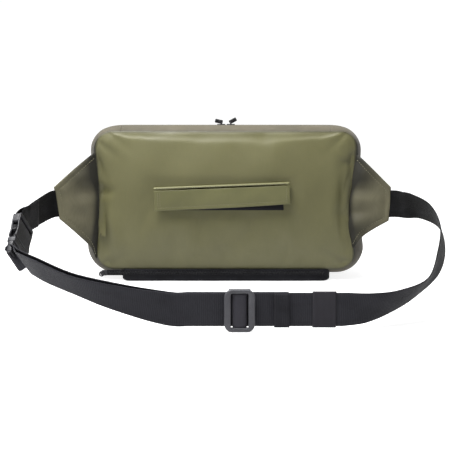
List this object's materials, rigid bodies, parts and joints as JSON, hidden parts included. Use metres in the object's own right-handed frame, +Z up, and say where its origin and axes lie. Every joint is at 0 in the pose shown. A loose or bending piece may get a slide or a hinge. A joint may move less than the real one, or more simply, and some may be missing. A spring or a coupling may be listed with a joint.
{
  "type": "throw rope waist bag",
  "caption": "Waist-worn throw rope bag: zipped box pouch with a padded back panel, side wings and a webbing belt with a side-release buckle.",
  "frame": {"origin": "middle of the flat base, on the surface the bag stands on", "axes": "+Z up, +X along the pouch's width towards the wing without the buckle, -Y from the wearer's side of the pouch towards the belt's front"},
  "size_m": [0.556, 0.4115, 0.2347],
  "materials": {
    "panel_olive": "coated satin",
    "gusset_brown": "matte woven nylon",
    "base_black": "matte woven nylon",
    "webbing": "woven webbing",
    "buckle_plastic": "moulded acetal",
    "zip_coil": "moulded coil",
    "zip_slider": "black painted zinc",
    "zip_pull": "moulded over cord",
    "foam": "closed-cell foam",
    "stiffener": "plastic sheet",
    "sack": "ripstop nylon"
  },
  "bodies": {
    "bag": {"back_panel": "panel_olive", "flap_header": "panel_olive", "front_panel": "gusset_brown", "left_gusset": "gusset_brown", "right_gusset": "gusset_brown", "top_strip_rear": "gusset_brown", "top_strip_front": "gusset_brown", "left_wing": "gusset_brown", "right_wing": "gusset_brown", "base_panel": "base_black", "top_zip_tape": "base_black", "pocket_zip_tape": "base_black", "lower_zip_tape": "base_black", "back_seam_binding": "base_black", "front_seam_binding": "base_black", "pocket_bag": "base_black", "sack_collar": "base_black", "left_strap": "webbing", "left_strap_fold": "webbing", "right_strap": "webbing", "front_strap_inner": "webbing", "front_strap_outer": "webbing", "sack_grab_loop": "webbing", "buckle_socket": "buckle_plastic", "top_zip_coil": "zip_coil", "pocket_zip_coil": "zip_coil", "lower_zip_coil": "zip_coil", "top_zip_stops": "zip_slider", "back_foam_pad": "foam", "left_wing_foam": "foam", "right_wing_foam": "foam", "sack_float_foam": "foam", "base_board": "stiffener", "front_stiffener": "stiffener", "throw_sack": "sack"},
    "top_slider_left": {"top_slider_left": "zip_slider"},
    "top_slider_right": {"top_slider_right": "zip_slider"},
    "top_pull_left": {"top_pull_left": "zip_pull"},
    "top_pull_right": {"top_pull_right": "zip_pull"},
    "pocket_flap": {"pocket_flap": "panel_olive"},
    "pocket_slider": {"pocket_slider": "zip_slider"},
    "pocket_pull": {"pocket_pull": "zip_pull"},
    "lower_slider": {"lower_slider": "zip_slider"},
    "lower_pull_loop": {"lower_pull_loop": "zip_pull"},
    "buckle_plug": {"buckle_plug": "buckle_plastic", "plug_strap_loop": "webbing"},
    "latch_arm_upper": {"latch_arm_upper": "buckle_plastic"},
    "latch_arm_lower": {"latch_arm_lower": "buckle_plastic"},
    "belt_slider": {"belt_slider": "buckle_plastic"},
    "belt_keeper": {"belt_keeper": "webbing"}
  },
  "joints": [
    {"name": "top_zip_left", "type": "slide", "parent": "bag", "child": "top_slider_left", "axis": [-1, 0, 0], "range_m": [0, 0.125]},
    {"name": "top_zip_right", "type": "slide", "parent": "bag", "child": "top_slider_right", "axis": [1, 0, 0], "range_m": [0, 0.125]},
    {"name": "top_pull_left_swing", "type": "hinge", "parent": "top_slider_left", "child": "top_pull_left", "pos_m": [-0.007, 0, 0.228], "axis": [0, 1, 0], "range_deg": [-8, 76]},
    {"name": "top_pull_right_swing", "type": "hinge", "parent": "top_slider_right", "child": "top_pull_right", "pos_m": [0.007, 0, 0.228], "axis": [0, -1, 0], "range_deg": [-24, 60]},
    {"name": "pocket_flap_lift", "type": "hinge", "parent": "bag", "child": "pocket_flap", "pos_m": [-0.0065, -0.07315, 0.136], "axis": [-0.9992, 0, -0.0401], "range_deg": [0, 110]},
    {"name": "pocket_zip", "type": "slide", "parent": "bag", "child": "pocket_slider", "axis": [0.9992, 0, 0.0401], "range_m": [0, 0.14]},
    {"name": "pocket_pull_swing", "type": "hinge", "parent": "pocket_slider", "child": "pocket_pull", "pos_m": [-0.07626, -0.0714, 0.11618], "axis": [0, -1, 0], "range_deg": [-25, 25]},
    {"name": "lower_zip", "type": "slide", "parent": "bag", "child": "lower_slider", "axis": [1, 0, 0], "range_m": [0, 0.3]},
    {"name": "lower_pull_swing", "type": "hinge", "parent": "lower_slider", "child": "lower_pull_loop", "pos_m": [-0.178, -0.0594, 0.0126], "axis": [0, -1, 0], "range_deg": [-60, 60]},
    {"name": "buckle_release", "type": "slide", "parent": "bag", "child": "buckle_plug", "axis": [-0.0251, -0.7189, -0.6947], "range_m": [0, 0.028]},
    {"name": "latch_upper_press", "type": "hinge", "parent": "buckle_plug", "child": "latch_arm_upper", "pos_m": [-0.26758, -0.1937, 0.08273], "axis": [-0.98, 0.1549, -0.1249], "range_deg": [0, 6], "stiffness_Nm_per_rad": 0.3},
    {"name": "latch_lower_press", "type": "hinge", "parent": "buckle_plug", "child": "latch_arm_lower", "pos_m": [-0.26265, -0.17677, 0.06502], "axis": [0.98, -0.1549, 0.1249], "range_deg": [0, 6], "stiffness_Nm_per_rad": 0.3},
    {"name": "belt_adjust", "type": "slide", "parent": "bag", "child": "belt_slider", "axis": [-1, 0, 0], "range_m": [-0.012, 0.045]},
    {"name": "keeper_slide", "type": "slide", "parent": "bag", "child": "belt_keeper", "axis": [-1, 0, 0], "range_m": [-0.005, 0.02]}
  ]
}
